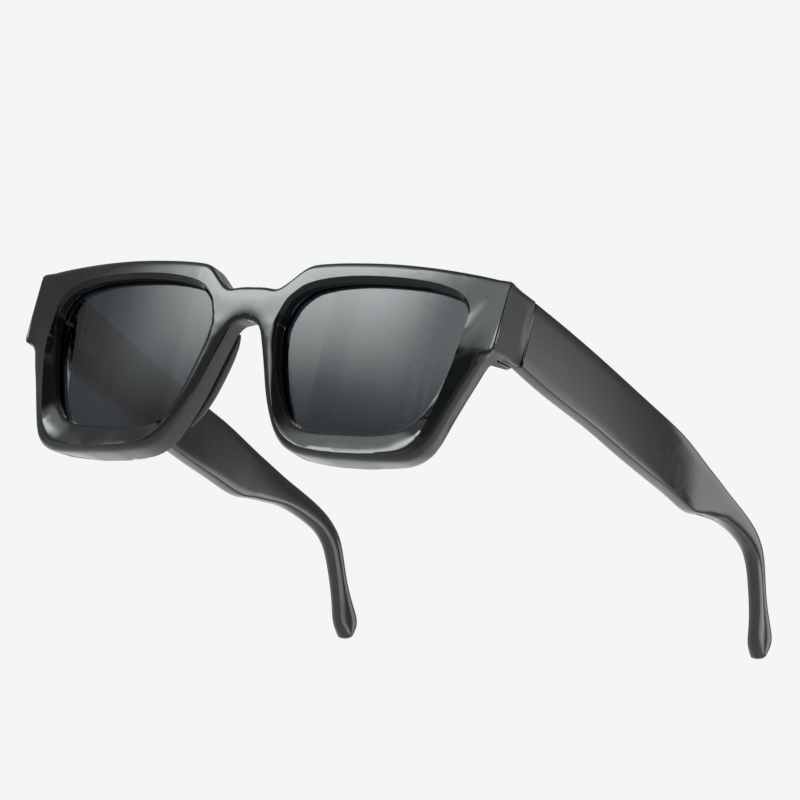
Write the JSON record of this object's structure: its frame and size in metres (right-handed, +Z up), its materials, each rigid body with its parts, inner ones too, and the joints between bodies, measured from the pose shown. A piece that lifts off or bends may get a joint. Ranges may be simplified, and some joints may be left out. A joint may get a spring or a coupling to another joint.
{
  "type": "sunglasses",
  "caption": "Thick square-framed sunglasses with a sculpted front, tinted lenses, separate nose pads and wide temples that fold on barrel hinges.",
  "frame": {"origin": "centre of the footprint on the plane that the rims and the temple tips stand on, with the temples open", "axes": "+X towards the wearer's left, -Y out of the front, the way the wearer looks, +Z up"},
  "size_m": [0.1502, 0.1582, 0.0513],
  "materials": {
    "frame_plastic": "polished",
    "pad_plastic": "satin",
    "lens": "grey tint, polished",
    "hinge_metal": "nickel silver",
    "screw_steel": "polished steel"
  },
  "bodies": {
    "front": {"front_frame": "frame_plastic", "lens_left": "lens", "lens_right": "lens", "nose_pad_left": "pad_plastic", "nose_pad_right": "pad_plastic", "front_hinge_left": "hinge_metal", "front_hinge_right": "hinge_metal", "hinge_screw_left": "screw_steel", "hinge_screw_right": "screw_steel", "front_leaf_screw_lower_left": "screw_steel", "front_leaf_screw_upper_left": "screw_steel", "front_leaf_screw_lower_right": "screw_steel", "front_leaf_screw_upper_right": "screw_steel"},
    "temple_left": {"temple_left": "frame_plastic", "core_wire_left": "hinge_metal", "temple_hinge_left": "hinge_metal", "temple_leaf_screw_near_left": "screw_steel", "temple_leaf_screw_far_left": "screw_steel"},
    "temple_right": {"temple_right": "frame_plastic", "core_wire_right": "hinge_metal", "temple_hinge_right": "hinge_metal", "temple_leaf_screw_near_right": "screw_steel", "temple_leaf_screw_far_right": "screw_steel"}
  },
  "joints": [
    {"name": "temple_left_fold", "type": "hinge", "parent": "front", "child": "temple_left", "pos_m": [0.06695, -0.06015, 0.039], "axis": [0, 0, 1], "range_deg": [0, 90]},
    {"name": "temple_right_fold", "type": "hinge", "parent": "front", "child": "temple_right", "pos_m": [-0.06695, -0.06015, 0.039], "axis": [0, 0, -1], "range_deg": [0, 85]}
  ]
}
